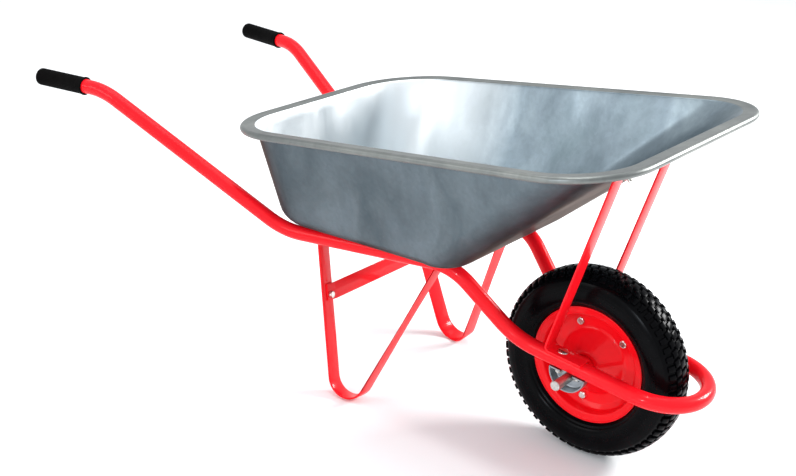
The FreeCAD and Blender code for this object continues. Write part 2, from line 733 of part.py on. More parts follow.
def wheel_fasteners():
    """Bolts with their heads on the right, nuts on the left."""
    thickness = 2 * RIM_SHEET
    bolts = [hex_bolt(M8, thickness + M8["nut"] + 3, p, Y_AXIS * RIGHT)
             for p in wheel_bolt_spots(RIGHT * RIM_SHEET)]
    nuts = [nut(M8, p, Y_AXIS) for p in wheel_bolt_spots(LEFT * RIM_SHEET)]
    return bolts, nuts


# ---------------------------------------------------------------- assembly

def build():
    parts = {}
    solid_tube = tube_sweep(TUBE_OD / 2)
    tube = solid_tube.cut(tube_sweep(TUBE_OD / 2 - TUBE_WALL))
    body = tray()
    for side_name, side in SIDES.items():
        rear, front = bracket_spots(side)
        tube = tube.cut(rod(M8["r"] + HOLE_PLAY, 60, rear - LOWER_UP * 30, LOWER_UP))
        tube = tube.cut(rod(M8["r"] + HOLE_PLAY, 30, front - LOWER_UP * 30, LOWER_UP))
        spot, out = stay_bolt(side)
        body = drilled(body, M8, [spot], out, reach=8)
        parts["grip_" + side_name] = grip(side)
        parts["leg_" + side_name] = leg(side, solid_tube)
        parts["stay_" + side_name] = stay(side)
        parts["axle_bracket_" + side_name] = bracket(side)
        parts["rim_half_" + side_name] = rim_half(side)
        parts["axle_spacer_" + side_name] = outer_spacer(side)
        parts["axle_clip_" + side_name] = axle_clip(side)
        for name, shape in bearing_parts(side).items():
            parts["bearing_" + side_name + "_" + name] = shape
    parts["frame_tube"] = tube
    parts["tray"] = drilled(body, M8, tray_bolt_spots(), RAIL_UP, reach=8)
    parts["leg_brace"] = brace()
    parts["tyre"] = tyre()
    parts["inner_tube"] = inner_tube()
    parts["valve_stem"] = valve_stem()
    parts["valve_cap"] = valve_cap()
    parts["hub_tube"] = hub_tube()
    parts["axle"] = axle()
    inner_reach = BEARING_OUT_Y - BEARING_W
    parts["hub_spacer"] = sleeve(SPACER_OD, -inner_reach, inner_reach)
    bolts, washers, nuts = tray_fasteners()
    parts.update({"tray_bolts": bolts, "tray_washers": washers, "tray_nuts": nuts})
    bolts, washers, nuts = stay_fasteners()
    parts.update({"stay_bolts": bolts, "stay_washers": washers, "stay_nuts": nuts})
    bolts, nuts = brace_fasteners()
    parts.update({"brace_bolts": bolts, "brace_nuts": nuts})
    bolts, nuts, screws = bracket_fasteners()
    parts.update({"bracket_bolts": bolts, "bracket_nuts": nuts, "bracket_screws": screws})
    parts["bracket_inserts"] = bracket_inserts()
    bolts, nuts = wheel_fasteners()
    parts.update({"wheel_bolts": bolts, "wheel_nuts": nuts})
    return parts


def main():
    os.makedirs("parts", exist_ok=True)
    for name, shape in sorted(build().items()):
        if isinstance(shape, list):
            shape = Part.makeCompound(shape)
        shape = shape.copy()
        shape.translate(V(AXLE_X, 0, 0))
        shape.exportStep("parts/" + name + ".step")
        print(name, len(shape.Solids), "solids", "valid" if shape.isValid() else "INVALID",
              round(shape.Volume / 1000, 1), "cm3")


main()
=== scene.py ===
import json
import math

import bmesh
import bpy
from mathutils import Matrix, Vector


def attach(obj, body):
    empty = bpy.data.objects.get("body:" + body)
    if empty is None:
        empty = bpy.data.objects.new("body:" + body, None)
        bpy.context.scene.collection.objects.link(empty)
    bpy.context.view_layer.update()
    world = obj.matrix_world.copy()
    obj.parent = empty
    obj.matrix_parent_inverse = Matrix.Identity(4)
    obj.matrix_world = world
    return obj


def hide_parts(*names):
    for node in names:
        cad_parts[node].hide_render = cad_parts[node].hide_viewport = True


# A single-wheel builder's wheelbarrow. Shapes are given in millimetres from the floor under the
# wheel's axle: x forward, y to the barrow's left, z up. at() turns them into the frame's metres.
# "side" is -1 for the right-hand copy of a piece and +1 for the left-hand copy.

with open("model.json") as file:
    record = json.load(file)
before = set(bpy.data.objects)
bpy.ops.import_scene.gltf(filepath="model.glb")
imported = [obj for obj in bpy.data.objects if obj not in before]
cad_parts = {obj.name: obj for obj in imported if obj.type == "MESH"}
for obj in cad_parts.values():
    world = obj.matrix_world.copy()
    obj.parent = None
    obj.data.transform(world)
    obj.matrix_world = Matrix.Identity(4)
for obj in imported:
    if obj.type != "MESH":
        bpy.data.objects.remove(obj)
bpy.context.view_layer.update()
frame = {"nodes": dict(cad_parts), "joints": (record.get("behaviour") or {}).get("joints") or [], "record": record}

MM = 0.001
AXLE = Vector(frame["joints"][0]["pos_m"])
SIDES = {"right": -1, "left": 1}
X, Y, Z = Vector((1, 0, 0)), Vector((0, 1, 0)), Vector((0, 0, 1))


def at(x, y, z):
    """A point in the frame, from millimetres measured from the floor under the axle."""
    return Vector((AXLE.x + x * MM, y * MM, z * MM))


# ---------------------------------------------------------------- sizes, in millimetres

TUBE_R = 15.0
TUBE_CORNERS = [(-1224, 310, 515), (-1054, 287, 521), (-632, 182, 309), (-253, 130, 341),
                (-121, 90, 221.6), (223.7, 90, 196.6)]
TUBE_BENDS = [136, 146, 107, 122, 89]

GRIP_R = 18.0
GRIP_WALL = 6.0
GRIP_LENGTH = 128.0
GRIP_DOME = 5.5
GRIP_RIBS = 36
GRIP_RIBBED = (12, 113)
RIB_DEPTH = 0.55
GRIP_LIP_R = 19.2

SHEET = 1.2
RIM_X = (-732.0, 146.0)
RIM_Z = (519.0, 661.0)
RIM_HALF = (288.0, 320.0)
RIM_RADIUS = (151.0, 135.0)
BEAD_R = 6.5
FLANGE = 22.0
FLOOR_X = (-680.0, -210.0)
FLOOR_HALF = (195.0, 212.0)
FLOOR_RADIUS = (112.0, 62.0)
FLOOR_FILLET = 45.0

BAR_T = 4.0
LEG_W = 35.0
LEG_APEX = (-445.7, 202.2, -82.1)
LEG_REAR_TOP = (-571.5, 139.6, 326.0)
LEG_FRONT_TOP = (-283.0, 103.0, 354.0)
FOOT_RADIUS = 41.5
LEG_TAB = 38.0
LEG_TAB_BEND = 7.0
TAB_BOLT_SHARE = 0.55
BRACE_H = 34.0
BRACE_BOLT_Z = 192.0
BRACE_BOLT_LOW = 11.0
BRACE_BOLT_IN = 5.0
BRACE_END_OUT = 11.0
BRACE_END_LENGTH = 29.0
STAY_W = 35.0
STAY_Y = 93.0
STAY_TOP_X = 43.7
STAY_FOOT_X = -49.3
STAY_TOP_TAB = 36.0
STAY_FOOT_TAB = 78.0
BAR_BEND = 9.0
TOUCH = 0.05
BAR_TIP_EDGE = 0.3

PITCHES = 64
TREAD_DEPTH = 4.2
TREAD_LEAN = 3.0
LUG_PROUD = 0.7
RIM_SHEET = 2.0
RIM_LINE = [(115.0, 28.0), (112.8, 25.6), (100.6, 25.0), (98.6, 8.0), (88.0, 1.0),
            (66.0, 1.0), (31.0, 39.0), (25.1, 39.0)]
RIM_BENDS = [3.0, 4.0, 6.0, 6.0, 12.0, 7.0]
TYRE_OUTSIDE = [(112.5, 24.9), (115.4, 25.7), (118.2, 30.0), (121.8, 34.5), (130.0, 40.0),
                (142.0, 43.0), (157.0, 42.0), (170.0, 37.5), (179.0, 31.0), (186.3, 16.0), (188.0, 0.0)]
TYRE_INSIDE = [(101.9, 14.0), (108.0, 20.0), (117.0, 27.5), (129.0, 34.0), (142.0, 37.0),
               (157.0, 35.5), (169.0, 29.0), (176.0, 16.0), (178.0, 0.0)]
BOLT_CIRCLE_R = 80.0
WHEEL_BOLTS = 5
WHEEL_BOLT_PHASE = 45.0

BRACKET_R = 38.0
BRACKET_T = 3.0
BRACKET_WEB_Y = 78.0
BRACKET_DEPTH = 22.0
BRACKET_BOLT_X = 20.0
BRACKET_NOTCH = 26.0
BRACKET_BEND = 6.0

BOLT_R = 4.0
HEX_AF = 13.0
HEAD_H = 5.3
NUT_H = 6.5
DOME_R = 11.0
DOME_H = 3.2
WASHER_R = 8.0
WASHER_T = 1.6
TRAY_BOLT = 17.3
STAY_BOLT = 19.3
BRACE_BOLT = 17.5
BRACKET_BOLT = 45.5
BRACKET_SCREW = 18.0
WHEEL_BOLT = 13.5

CAMERA_AZIMUTH = 37.06
CAMERA_ELEVATION = 23.3
CAMERA_ROLL = 3.99
CAMERA_LENS = 59.63
CAMERA_SENSOR = 36.0
CAMERA_PLACE = (AXLE.x + 1.0205, -1.9905, 1.3588)


# ---------------------------------------------------------------- shapes as (points, faces)

def loft(rings, closed=True, cyclic=False, caps=True):
    """Faces between rows of points. closed joins each row's ends, cyclic joins the last row to the first."""
    count = len(rings[0])
    points = [p for ring in rings for p in ring]
    faces = []
    rows = len(rings) if cyclic else len(rings) - 1
    columns = count if closed else count - 1
    for i in range(rows):
        j = (i + 1) % len(rings)
        for a in range(columns):
            b = (a + 1) % count
            faces.append((i * count + a, i * count + b, j * count + b, j * count + a))
    if caps and not cyclic:
        faces.append(tuple(reversed(range(count))))
        faces.append(tuple(range(len(points) - count, len(points))))
    return points, faces


def join(*shapes):
    points, faces = [], []
    for more_points, more_faces in shapes:
        start = len(points)
        points += more_points
        faces += [tuple(start + i for i in face) for face in more_faces]
    return points, faces


def square_axes(axis):
    """Two directions square to an axis and to each other."""
    axis = axis.normalized()
    first = (Z if abs(axis.z) < 0.9 else X).cross(axis).normalized()
    return first, axis.cross(first)


def circle(centre, radius, axis, count=48, phase=0.0):
    u, v = square_axes(axis)
    angles = [phase + 2 * math.pi * k / count for k in range(count)]
    return [centre + (u * math.cos(a) + v * math.sin(a)) * (radius * MM) for a in angles]


def turned(outline, base, axis, count=48, ring_shaped=False):
    """A turned solid: outline is (radius, height) pairs along axis from base."""
    axis = axis.normalized()
    rings = [circle(base + axis * (h * MM), r, axis, count) for r, h in outline]
    return loft(rings, cyclic=ring_shaped, caps=not ring_shaped)


def on_wheel(radius, y, angle):
    """A point of the wheel: radius and angle about the axle, y across it."""
    return AXLE + Vector((radius * math.cos(angle), y, radius * math.sin(angle))) * MM


def lathe(outline, count):
    """A closed outline of (radius, y) pairs turned about the axle."""
    rings = [[on_wheel(r, y, 2 * math.pi * k / count) for r, y in outline] for k in range(count)]
    return loft(rings, cyclic=True)


def rounded(points, radii, step=math.radians(6)):
    """A line through corners, each rounded by a tangent arc, as a list of points."""
    result = [points[0]]
    for before, here, after, radius in zip(points, points[1:], points[2:], radii):
        turn = math.pi - (before - here).angle(after - here)
        result += arc_between(before, here, after, radius, max(2, math.ceil(turn / step)))
    result.append(points[-1])
    return result


def arc_between(before, here, after, radius, steps):
    """The arc that rounds one corner, as steps + 1 points."""
    a, b = (before - here).normalized(), (after - here).normalized()
    half = a.angle(b) / 2
    centre = here + (a + b).normalized() * (radius / math.sin(half))
    start = here + a * (radius / math.tan(half)) - centre
    axis = a.cross(b).normalized() * -1
    turn = math.pi - 2 * half
    return [centre + Matrix.Rotation(turn * s / steps, 3, axis) @ start for s in range(steps + 1)]


def rounded_flat(pairs, radii, step=math.radians(8)):
    """rounded() for (a, b) pairs."""
    line = rounded([Vector((a, b, 0)) for a, b in pairs], radii, step)
    return [(p.x, p.y) for p in line]


def tangents(points):
    result = []
    for i, p in enumerate(points):
        before, after = points[max(i - 1, 0)], points[min(i + 1, len(points) - 1)]
        result.append((after - before).normalized())
    return result


def swept_circle(points, radius, count=40):
    """A round bar along a line, its rings carried on without twist."""
    directions = tangents(points)
    side = square_axes(directions[0])[0]
    rings = []
    for p, d in zip(points, directions):
        side = (side - d * side.dot(d)).normalized()
        up = d.cross(side)
        angles = [2 * math.pi * k / count for k in range(count)]
        rings.append([p + (side * math.cos(a) + up * math.sin(a)) * (radius * MM) for a in angles])
    return loft(rings)


def bar_section(centre, across, out, width, thickness, edge):
    """A flat bar's section with rounded long edges."""
    w, t = width / 2, thickness / 2
    ring = []
    for sw, st, start in ((1, 1, 0), (-1, 1, 90), (-1, -1, 180), (1, -1, 270)):
        for a in (start, start + 45, start + 90):
            a = math.radians(a)
            ring.append(centre + (across * (sw * (w - edge) + edge * math.cos(a))
                                  + out * (st * (t - edge) + edge * math.sin(a))) * MM)
    return ring


def bar(stations, width, thickness=BAR_T, edge=0.9):
    """A flat bar through (centre, across, out) stations, its two ends slightly rounded."""
    (first, *first_turn), (last, *last_turn) = stations[0], stations[-1]
    start = (stations[1][0] - first).normalized()
    end = (last - stations[-2][0]).normalized()
    small = (width - edge * 1.6, thickness - edge * 1.6, BAR_TIP_EDGE)
    full = (width, thickness, edge)
    rings = [bar_section(first, *first_turn, *small),
             bar_section(first + start * (edge * MM), *first_turn, *full)]
    rings += [bar_section(centre, across, out, *full) for centre, across, out in stations[1:-1]]
    rings += [bar_section(last - end * (edge * MM), *last_turn, *full),
              bar_section(last, *last_turn, *small)]
    return loft(rings)


def flat_path(points, radii, across, step=math.radians(6)):
    """Stations of a bar bent about one direction."""
    line = rounded(points, [r * MM for r in radii], step=step)
    return [(p, across, d.cross(across).normalized()) for p, d in zip(line, tangents(line))]


# ---------------------------------------------------------------- fasteners

def hexagon_radius(angle, across_flats):
    sector = math.radians(60)
    return across_flats / 2 / math.cos((angle + sector / 2) % sector - sector / 2)


def hexagon(across_flats, height, base, axis, turn=0.0, bore=0.0):
    """A hexagonal head, or with a bore a nut: the corners are turned down to a cone of 30 degrees."""
    axis = axis.normalized()
    u, v = square_axes(axis)
    flat = across_flats / 2 * 0.96
    count = 48

    def row(radius_of, height_of):
        ring = []
        for k in range(count):
            a = 2 * math.pi * k / count
            direction = u * math.cos(a + turn) + v * math.sin(a + turn)
            ring.append(base + direction * (radius_of(a) * MM) + axis * (height_of(a) * MM))
        return ring

    def corner(a):
        return hexagon_radius(a, across_flats)

    def cut(a):
        return (corner(a) - flat) * math.tan(math.radians(30))

    def level(radius, at_height):
        return row(lambda a: radius, lambda a: at_height)

    shoulder = row(corner, lambda a: height - cut(a))
    if bore:
        return loft([level(flat, 0), row(corner, cut), shoulder, level(flat, height),
                     level(bore + 0.8, height), level(bore, height - 0.8), level(bore, 0)], cyclic=True)
    return loft([row(corner, lambda a: 0), level(flat, height), shoulder, level(flat * 0.86, height),
                 level(flat * 0.82, height - 0.35)])


def threaded(radius, length, base, axis, pitch=1.25):
    """A screw's end with turned-down thread rings and a chamfer."""
    outline = []
    h = 0.0
    while h < length - 1.5:
        outline += [(radius, h), (radius, h + pitch * 0.3), (radius - 0.55, h + pitch * 0.6)]
        h += pitch
    outline += [(radius, length - 1.2), (radius - 1.0, length)]
    return turned(outline, base, axis, 24)


def hex_bolt(seat, axis, length, turn=0.0):
    head = hexagon(HEX_AF, HEAD_H, seat, axis, turn)
    return join(head, threaded(BOLT_R, length, seat, axis * -1))


def round_bolt(seat, axis, length):
    """A low domed head with a short rounded skirt."""
    radius, rise = DOME_R, DOME_H
    outline = [(radius - 0.3, 0), (radius, 0.3), (radius, 0.7)]
    for k in range(1, 8):
        a = math.radians(90 * k / 8)
        outline.append((radius * math.cos(a), 0.7 + (rise - 0.7) * math.sin(a)))
    outline.append((0.4, rise))
    return join(turned(outline, seat, axis, 40), threaded(BOLT_R, length, seat, axis * -1))


def nut(seat, axis, turn=0.0):
    return hexagon(HEX_AF, NUT_H, seat, axis, turn, bore=BOLT_R)


def washer(seat, axis):
    edge = 0.3
    outline = [(BOLT_R + 0.25, 0), (WASHER_R - edge, 0), (WASHER_R, edge), (WASHER_R, WASHER_T - edge),
               (WASHER_R - edge, WASHER_T), (BOLT_R + 0.25, WASHER_T)]
    return turned(outline, seat, axis, 40, ring_shaped=True)


# ---------------------------------------------------------------- materials

class Nodes:
    """A material's node tree, with short ways to add what these materials repeat."""

    def __init__(self, name):
        self.material = bpy.data.materials.new(name)
        self.material.use_nodes = True
        self.tree = self.material.node_tree
        self.shader = self.tree.nodes["Principled BSDF"]
        self.place = self.add("ShaderNodeTexCoord").outputs["Object"]

    def add(self, kind, **values):
        node = self.tree.nodes.new(kind)
        for key, value in values.items():
            setattr(node, key, value)
        return node

    def link(self, source, target):
        self.tree.links.new(source, target)

    def fix(self, **values):
        """Plain values on the shader's own sockets."""
        for key, value in values.items():
            self.shader.inputs[key.replace("_", " ")].default_value = value

    def stretched(self, scale):
        mapping = self.add("ShaderNodeMapping")
        mapping.inputs["Scale"].default_value = scale
        self.link(self.place, mapping.inputs["Vector"])
        return mapping.outputs["Vector"]

    def noise(self, scale, detail=3.0, roughness=0.55, distortion=0.0, stretch=(1, 1, 1)):
        node = self.add("ShaderNodeTexNoise")
        node.inputs["Scale"].default_value = scale
        node.inputs["Detail"].default_value = detail
        node.inputs["Roughness"].default_value = roughness
        node.inputs["Distortion"].default_value = distortion
        self.link(self.stretched(stretch), node.inputs["Vector"])
        return node.outputs["Fac"]

    def cells(self, scale, feature="F1", output="Distance", stretch=(1, 1, 1)):
        node = self.add("ShaderNodeTexVoronoi", feature=feature)
        node.inputs["Scale"].default_value = scale
        self.link(self.stretched(stretch), node.inputs["Vector"])
        return node.outputs[output]

    def ramp(self, source, stops):
        """Colours by value: stops are (position, colour)."""
        node = self.add("ShaderNodeValToRGB")
        elements = node.color_ramp.elements
        while len(elements) < len(stops):
            elements.new(0.5)
        for element, (position, colour) in zip(elements, stops):
            element.position = position
            element.color = (*colour, 1.0)
        self.link(source, node.inputs["Fac"])
        return node.outputs["Color"]

    def range(self, source, low, high, low_in=0.3, high_in=0.7):
        node = self.add("ShaderNodeMapRange")
        node.inputs["From Min"].default_value = low_in
        node.inputs["From Max"].default_value = high_in
        node.inputs["To Min"].default_value = low
        node.inputs["To Max"].default_value = high
        self.link(source, node.inputs["Value"])
        return node.outputs["Result"]

    def mix(self, share, first, second, blend="MIX"):
        node = self.add("ShaderNodeMix", data_type="RGBA", blend_type=blend)
        self.link(share, node.inputs["Factor"])
        for value, socket in ((first, node.inputs["A"]), (second, node.inputs["B"])):
            if isinstance(value, tuple):
                socket.default_value = (*value, 1.0)
            else:
                self.link(value, socket)
        return node.outputs["Result"]

    def bump(self, height, strength, distance, under=None):
        node = self.add("ShaderNodeBump")
        node.inputs["Strength"].default_value = strength
        node.inputs["Distance"].default_value = distance * MM
        self.link(height, node.inputs["Height"])
        if under:
            self.link(under, node.inputs["Normal"])
        return node.outputs["Normal"]

    def finish(self, colour=None, roughness=None, normal=None):
        if colour:
            self.link(colour, self.shader.inputs["Base Color"])
        if roughness:
            self.link(roughness, self.shader.inputs["Roughness"])
        if normal:
            self.link(normal, self.shader.inputs["Normal"])
        return self.material


def paint(name, deep, bright):
    """Sprayed gloss paint: faint colour drift, orange peel and a little unevenness in the gloss."""
    m = Nodes(name)
    m.fix(Specular_IOR_Level=0.08, Coat_Weight=0.24, Coat_Roughness=0.05, Coat_IOR=1.5)
    drift = m.ramp(m.noise(9, 4), [(0.3, deep), (0.7, bright)])
    rough = m.range(m.noise(38, 4, 0.6, 0.3, (1, 1, 0.35)), 0.28, 0.36, 0.35, 0.75)
    peel = m.bump(m.noise(420, 2, 0.5), 0.06, 0.12)
    return m.finish(drift, rough, peel)


def galvanised(name, dark, middle, light, low_rough, high_rough, streak=1.0, edge=None, rear=None):
    """Drawn galvanised sheet: cloudy zinc, soft streaks down the walls, faint crystals and scuffs.

    edge is a brown tint on reflections seen at a shallow angle, a painted reflection; rear is a painted highlight,
    a near-white glare that grows towards the handles."""
    m = Nodes(name)
    m.fix(Metallic=1.0)
    # Painted reflection: a brown tint on reflections at a shallow angle, standing in for warm surroundings.
    if edge:
        m.fix(Specular_Tint=(*edge, 1.0))
    clouds = m.noise(7, 5, 0.6, 0.8, (1, 1, 0.6))
    streaks = m.noise(16, 4, 0.6, 0.3, (1, 1, 0.08 + 0.4 * (1 - streak)))
    spangle = m.cells(130, output="Color")
    colour = m.ramp(clouds, [(0.30, dark), (0.50, middle), (0.72, light)])
    lines = m.ramp(streaks, [(0.30, (0.62, 0.64, 0.66)), (0.65, (1.0, 1.0, 1.0))])
    colour = m.mix(m.range(clouds, 0.35, 0.8), colour, lines, "MULTIPLY")
    crystal = m.range(spangle, 0.0, 0.16, 0.0, 1.0)
    colour = m.mix(crystal, colour, (0.86, 0.90, 0.94), "SOFT_LIGHT")
    # Painted highlight: the colour fades to a near-white glare towards the handles, by the object's x position.
    if rear:
        forward = m.add("ShaderNodeSeparateXYZ")
        m.link(m.place, forward.inputs["Vector"])
        colour = m.mix(m.range(forward.outputs["X"], 1.0, 0.0, -0.22, 0.11), colour, rear)
    rough = m.range(m.noise(11, 5, 0.6, 0.5, (1, 1, 0.3)), low_rough, high_rough)
    dents = m.bump(m.noise(6, 2, 0.5, 0.4), 0.35, 4.0)
    scuffs = m.bump(m.noise(160, 4, 0.7, 0.0, (1, 1, 0.15)), 0.10, 0.15, dents)
    return m.finish(colour, rough, scuffs)


def steel(name, dark, light, low_rough, high_rough, grain=(1, 1, 1), scale=120):
    """Plated or drawn steel: tone and gloss vary finely along the grain."""
    m = Nodes(name)
    m.fix(Metallic=1.0)
    tone = m.noise(scale, 5, 0.65, 0.2, grain)
    colour = m.ramp(tone, [(0.3, dark), (0.7, light)])
    rough = m.range(m.noise(scale * 0.6, 4, 0.6, 0.0, grain), low_rough, high_rough)
    return m.finish(colour, rough, m.bump(tone, 0.12, 0.1))


def rubber(name, dark, light, low_rough, high_rough, grain=900, relief=0.12, specular=0.25):
    """Moulded rubber: fine grain, greyer where it has been handled."""
    m = Nodes(name)
    m.fix(Specular_IOR_Level=specular)
    wear = m.noise(26, 5, 0.65, 0.4)
    colour = m.ramp(wear, [(0.35, dark), (0.75, light)])
    rough = m.range(m.noise(60, 4), low_rough, high_rough)
    fine = m.bump(m.noise(grain, 2), 0.35, relief)
    return m.finish(colour, rough, m.bump(m.noise(70, 3), 0.15, 0.5, fine))


RED = paint("red_paint", (0.82, 0.004, 0.010), (0.90, 0.007, 0.015))
WHEEL_RED = paint("wheel_red_paint", (0.78, 0.003, 0.008), (0.86, 0.005, 0.011))
# Two copies of one zinc sheet: the outside copy is darker, painted shade, and the inside copy lighter, painted
# light. The inside copy also fades to a painted near-white glare towards the handles, and the outside copy's brown
# edge tint is a painted reflection.
TRAY_OUTSIDE_SHADED = galvanised("tray_outside_zinc_painted_shade", (0.100, 0.128, 0.145), (0.140, 0.172, 0.190),
                          (0.18, 0.22, 0.245), 0.34, 0.50, edge=(0.33, 0.22, 0.17))
TRAY_INSIDE_LIT = galvanised("tray_inside_zinc_painted_light", (0.14, 0.18, 0.20), (0.195, 0.24, 0.27), (0.29, 0.35, 0.38),
                         0.30, 0.46, rear=(0.93, 0.96, 0.97))
TRAY_RIM = galvanised("tray_rim_zinc", (0.16, 0.17, 0.165), (0.21, 0.22, 0.21), (0.28, 0.29, 0.27),
                      0.36, 0.50)
BRACKET_ZINC = galvanised("bracket_zinc", (0.20, 0.215, 0.23), (0.31, 0.33, 0.35), (0.46, 0.48, 0.50),
                          0.32, 0.50, streak=0.2)
BOLT_ZINC = steel("bolt_zinc", (0.55, 0.55, 0.52), (0.80, 0.79, 0.74), 0.20, 0.36)
AXLE_STEEL = steel("axle_steel", (0.42, 0.40, 0.38), (0.62, 0.60, 0.57), 0.28, 0.45, (1, 0.1, 1), 300)
BEARING_STEEL = steel("bearing_steel", (0.60, 0.60, 0.62), (0.80, 0.80, 0.82), 0.12, 0.25, (1, 6, 1))
SEAL_PLASTIC = rubber("seal_plastic", (0.012, 0.012, 0.013), (0.030, 0.030, 0.033), 0.45, 0.6)
GRIP_RUBBER = rubber("grip_rubber", (0.002, 0.002, 0.002), (0.005, 0.004, 0.004), 0.42, 0.62, 700, 0.2,
                     0.02)
TYRE_RUBBER = rubber("tyre_rubber", (0.0010, 0.0010, 0.0013), (0.0024, 0.0024, 0.003), 0.17, 0.26, 800,
                     0.03, 0.05)
TUBE_RUBBER = rubber("tube_rubber", (0.010, 0.010, 0.010), (0.020, 0.020, 0.020), 0.5, 0.65)

SLOT_MATERIALS = {"frame_paint": RED, "wheel_paint": WHEEL_RED, "tray_zinc": TRAY_INSIDE_LIT,
                  "bracket_zinc": BRACKET_ZINC, "fastener_zinc": BOLT_ZINC, "axle_steel": AXLE_STEEL,
                  "bearing_steel": BEARING_STEEL, "shield_plastic": SEAL_PLASTIC,
                  "grip_rubber": GRIP_RUBBER, "tyre_rubber": TYRE_RUBBER, "tube_rubber": TUBE_RUBBER,
                  "cap_plastic": SEAL_PLASTIC}
NODE_SLOTS = {part["node"]: part["material_slot"] for part in frame["record"]["subparts"]}

for node_name, cad_object in frame["nodes"].items():
    cad_object.data.materials.clear()
    cad_object.data.materials.append(SLOT_MATERIALS[NODE_SLOTS[node_name]])


# ---------------------------------------------------------------- pieces

def piece(name, shape, body, slot, nodes, smooth_angle=35, materials=None):
    """Makes an object of a shape, hangs it under its body's empty and hides the CAD nodes it stands for."""
    mesh = bpy.data.meshes.new(name)
    mesh.from_pydata([tuple(p) for p in shape[0]], [], shape[1])
    work = bmesh.new()
    work.from_mesh(mesh)
    bmesh.ops.remove_doubles(work, verts=work.verts, dist=1e-7)
    bmesh.ops.recalc_face_normals(work, faces=work.faces)
    work.to_mesh(mesh)
    work.free()
    mesh.shade_smooth()
    mesh.set_sharp_from_angle(angle=math.radians(smooth_angle))
    for material in materials or [SLOT_MATERIALS[slot]]:
        mesh.materials.append(material)
    made = bpy.data.objects.new(name, mesh)
    bpy.context.scene.collection.objects.link(made)
    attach(made, body)
    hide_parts(*nodes)
    return made


# ---------------------------------------------------------------- frame tube and grips

def sided(corner, side):
    return at(corner[0], corner[1] * side, corner[2])


def tube_line():
    right = [sided(c, -1) for c in TUBE_CORNERS]
    left = [sided(c, 1) for c in reversed(TUBE_CORNERS)]
    radii = [r * MM for r in TUBE_BENDS + TUBE_BENDS[::-1]]
    return rounded(right + left, radii, step=math.radians(3))


def lower_line_z(x):
    """Height of the tube's centre line beside the wheel."""
    (x0, _, z0), (x1, _, z1) = TUBE_CORNERS[4:6]
    return z0 + (x - x0) * (z1 - z0) / (x1 - x0)


LOWER_RUN = (sided(TUBE_CORNERS[5], 1) - sided(TUBE_CORNERS[4], 1)).normalized()
LOWER_UP = LOWER_RUN.cross(Y)


def on_lower_run(x, side, height):
    """A point above or below the lower run's centre line, square to it."""
    return at(x, TUBE_CORNERS[5][1] * side, lower_line_z(x)) + LOWER_UP * (height * MM)


def grip(side):
    """A moulded sleeve: domed end, fine lengthwise ribs between two plain bands, a lip at its mouth."""
    end, bend = sided(TUBE_CORNERS[0], side), sided(TUBE_CORNERS[1], side)
    along = (bend - end).normalized()
    base = end - along * (GRIP_WALL * MM)
    u, v = square_axes(along)
    outline = [(1.0, 0.0)]
    for k in range(8):
        a = math.radians(90 - 90 * k / 7)
        outline.append((GRIP_R - GRIP_DOME + GRIP_DOME * math.cos(a), GRIP_DOME - GRIP_DOME * math.sin(a)))
    ribs_from, ribs_to = GRIP_RIBBED
    for h in (9, 11, ribs_from, ribs_to, 114, 116, 121, 124):
        outline.append((GRIP_R, h))
    mouth_r = TUBE_R + 0.3
    outline += [(GRIP_R + 0.3, 124.6), (GRIP_LIP_R, 125.4), (GRIP_LIP_R, 127.4),
                (GRIP_LIP_R - 0.6, GRIP_LENGTH), (mouth_r, GRIP_LENGTH), (mouth_r, 122)]
    per_rib = 4
    rings = []
    for r, h in outline:
        ring = []
        for k in range(GRIP_RIBS * per_rib):
            a = 2 * math.pi * k / (GRIP_RIBS * per_rib)
            ribbed = ribs_from <= h <= ribs_to and k % per_rib < 2
            radius = r - (RIB_DEPTH if ribbed else 0.0)
            ring.append(base + along * (h * MM) + (u * math.cos(a) + v * math.sin(a)) * (radius * MM))
        rings.append(ring)
    return loft(rings)


piece("painted_frame_tube", swept_circle(tube_line(), TUBE_R), "barrow", "frame_paint", ["frame_tube"])
for side_name, side in SIDES.items():
    piece("ribbed_grip_" + side_name, grip(side), "barrow", "grip_rubber", ["grip_" + side_name])


# ---------------------------------------------------------------- tray

RIM_RUN = Vector((RIM_X[1] - RIM_X[0], 0, RIM_Z[1] - RIM_Z[0])).normalized()
RIM_UP = RIM_RUN.cross(Y)
RAIL_RUN = (sided(TUBE_CORNERS[3], 1) - sided(TUBE_CORNERS[2], 1))
RAIL_RUN = Vector((RAIL_RUN.x, 0, RAIL_RUN.z)).normalized()
RAIL_UP = RAIL_RUN.cross(Y)
CORNER_STEPS = 20
STRAIGHT_STEPS = 14
FIRST_RIM_POINT = 26


def rim_z(x):
    return RIM_Z[0] + (x - RIM_X[0]) * RIM_RUN.z / RIM_RUN.x


def floor_z(x):
    """The underside of the tray's floor, along the tops of the rails."""
    corner = TUBE_CORNERS[2]
    return corner[2] + TUBE_R / RAIL_UP.z + (x - corner[0]) * RAIL_RUN.z / RAIL_RUN.x


